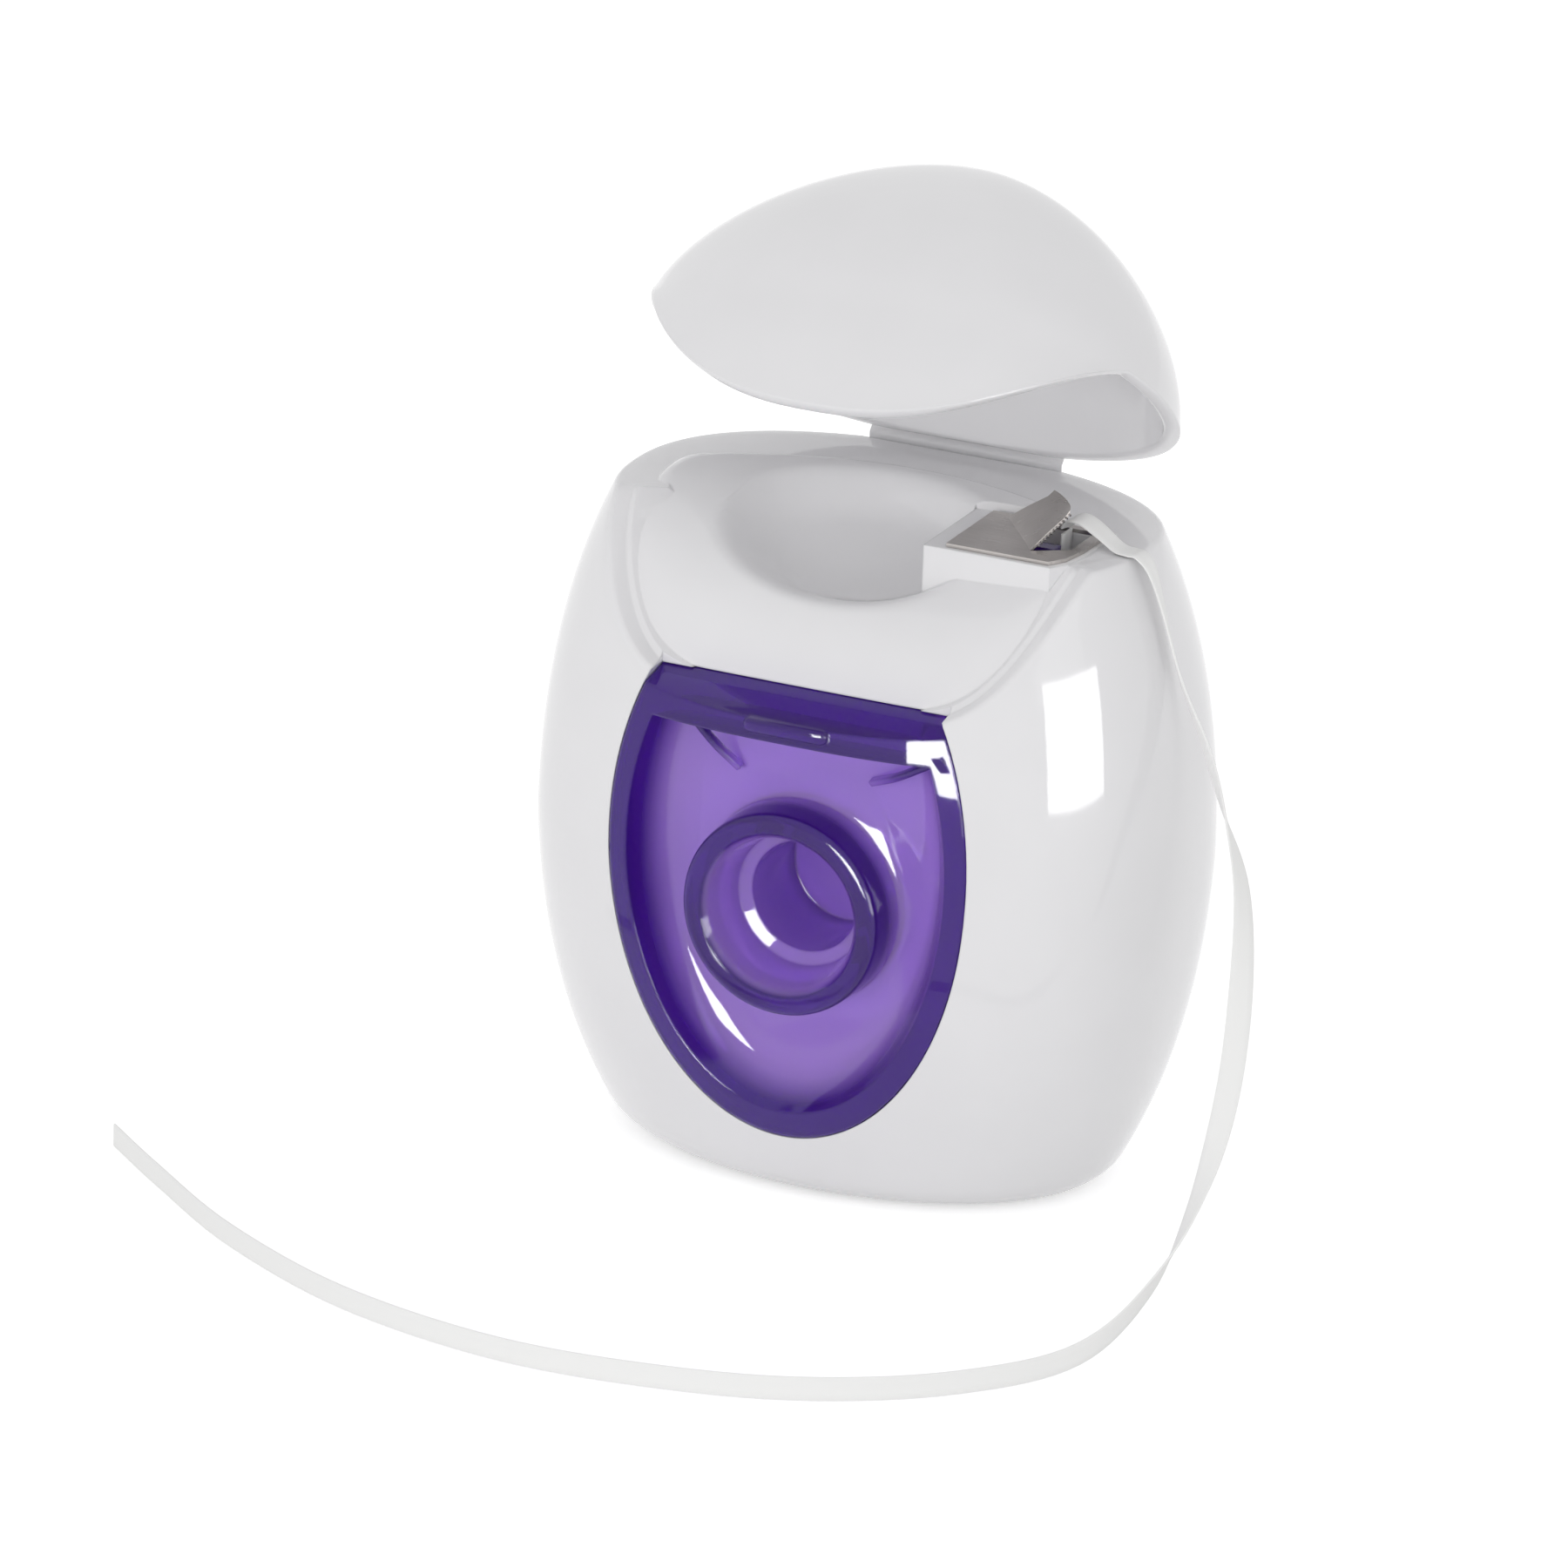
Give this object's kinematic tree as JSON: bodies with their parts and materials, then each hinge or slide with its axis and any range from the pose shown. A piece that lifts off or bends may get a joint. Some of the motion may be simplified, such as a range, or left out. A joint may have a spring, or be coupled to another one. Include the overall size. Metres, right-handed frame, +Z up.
{
  "type": "dental floss dispenser",
  "caption": "Upright rounded floss dispenser with a hinged flip-top lid, clear window insert, steel cutter and a bobbin of floss tape led out over its rim.",
  "frame": {"origin": "middle of the flat base, on the surface the dispenser stands on", "axes": "+Z up, -Y towards the front with the window and the lid's free edge, +X towards the cutter and floss slot"},
  "size_m": [0.0673, 0.0547, 0.0582],
  "materials": {
    "white_plastic": "glossy moulded",
    "clear_purple_plastic": "clear tinted, polished",
    "stainless_steel": "plain stamped",
    "natural_plastic": "plain moulded",
    "waxed_floss": "waxed tape"
  },
  "bodies": {
    "case": {"case_shell": "white_plastic", "window_insert": "clear_purple_plastic", "cutter_plate": "stainless_steel", "hinge_web": "white_plastic", "floss_feed": "waxed_floss", "floss_tape": "waxed_floss"},
    "lid": {"lid_shell": "white_plastic"},
    "bobbin": {"bobbin_core": "natural_plastic", "floss_pack": "waxed_floss", "floss_winding": "waxed_floss"}
  },
  "joints": [
    {"name": "lid_hinge", "type": "hinge", "parent": "case", "child": "lid", "pos_m": [0, 0.0109, 0.04025], "axis": [-1, 0, 0], "range_deg": [-41, 74], "deforming": ["hinge_web"]},
    {"name": "bobbin_spin", "type": "hinge", "parent": "case", "child": "bobbin", "pos_m": [0, 0, 0.01875], "axis": [0, 1, 0], "continuous": true}
  ]
}
